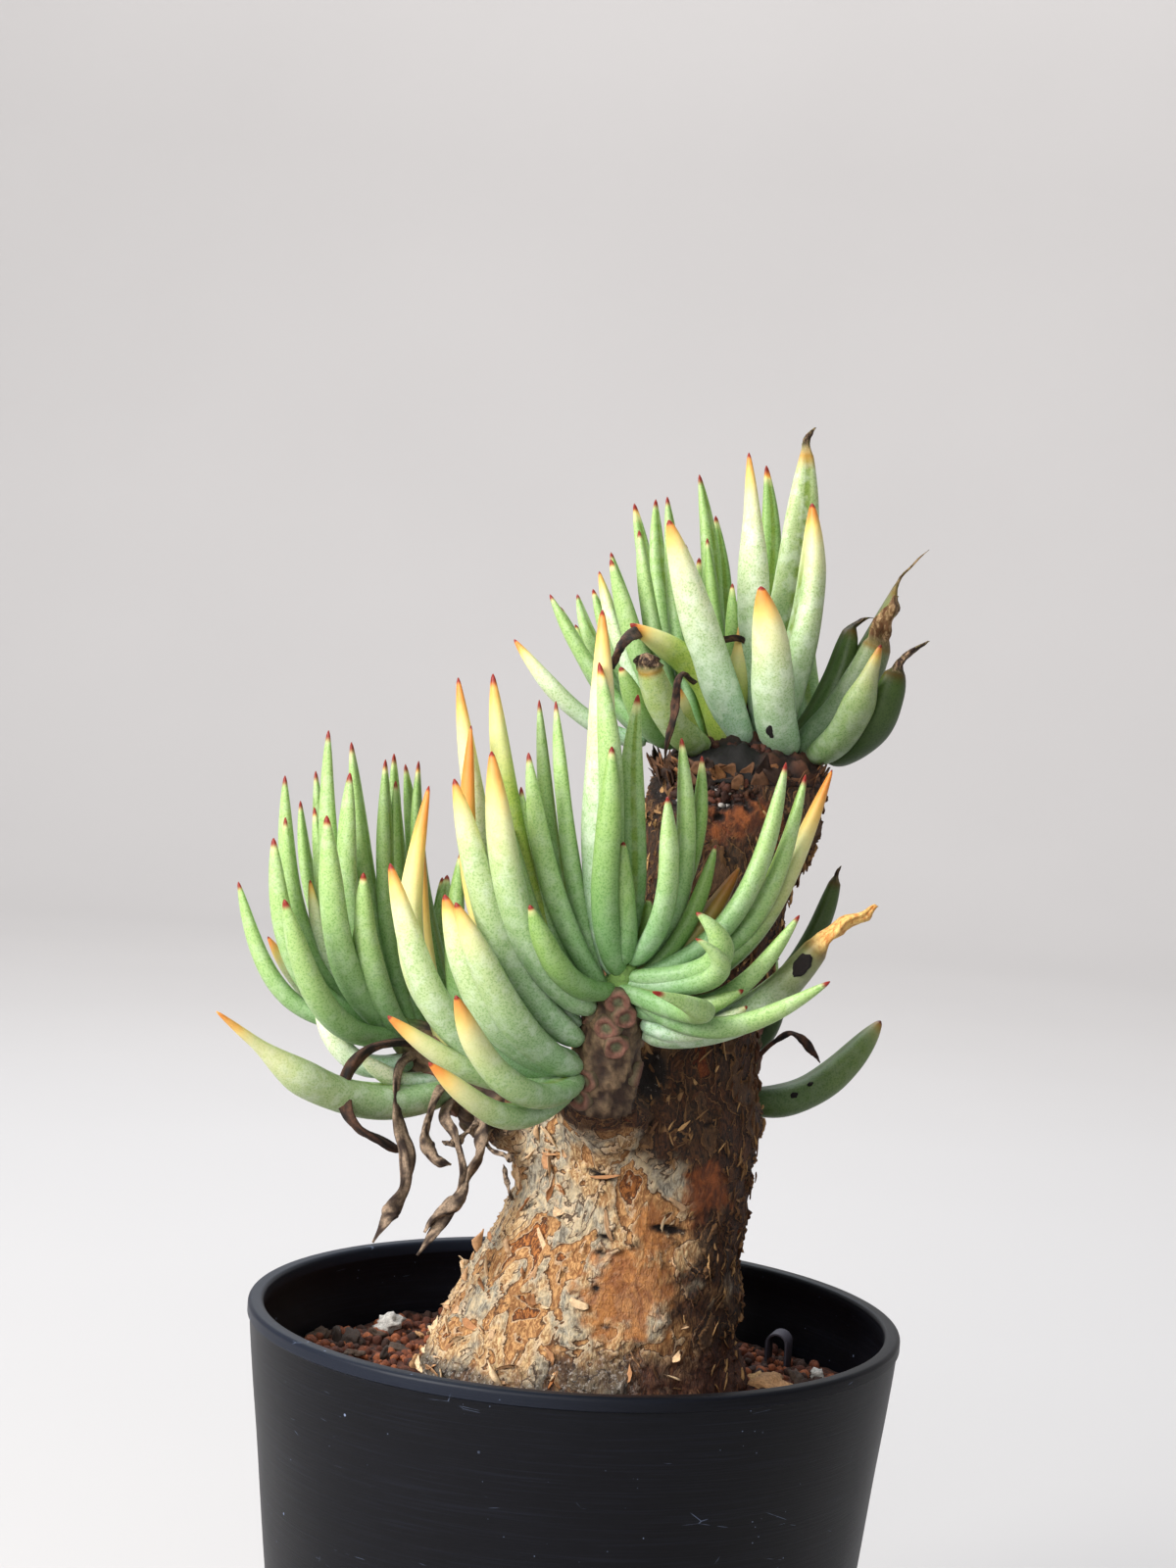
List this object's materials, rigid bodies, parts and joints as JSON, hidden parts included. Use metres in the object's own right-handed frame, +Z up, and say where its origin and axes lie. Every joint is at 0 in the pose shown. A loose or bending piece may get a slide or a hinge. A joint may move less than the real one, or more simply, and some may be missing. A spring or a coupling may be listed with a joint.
{
  "type": "potted tylecodon",
  "caption": "Swollen, flaking succulent trunk with tufts of finger-shaped leaves, standing in a round tapered nursery pot filled with soil.",
  "frame": {"origin": "centre of the pot's base, on the surface that it stands on", "axes": "+Z up along the pot's axis, -Y towards the side the reference view sees, +X to that view's right"},
  "size_m": [0.1273, 0.1206, 0.28],
  "materials": {
    "pot": "satin",
    "soil": "matte",
    "bark": "matte",
    "leaf": "satin",
    "label": "matte"
  },
  "bodies": {
    "root": {"pot": "pot", "soil": "soil", "caudex": "bark", "crown_top": "leaf", "crown_front": "leaf", "crown_left": "leaf", "crown_back": "leaf", "label_stub": "label"}
  },
  "joints": []
}
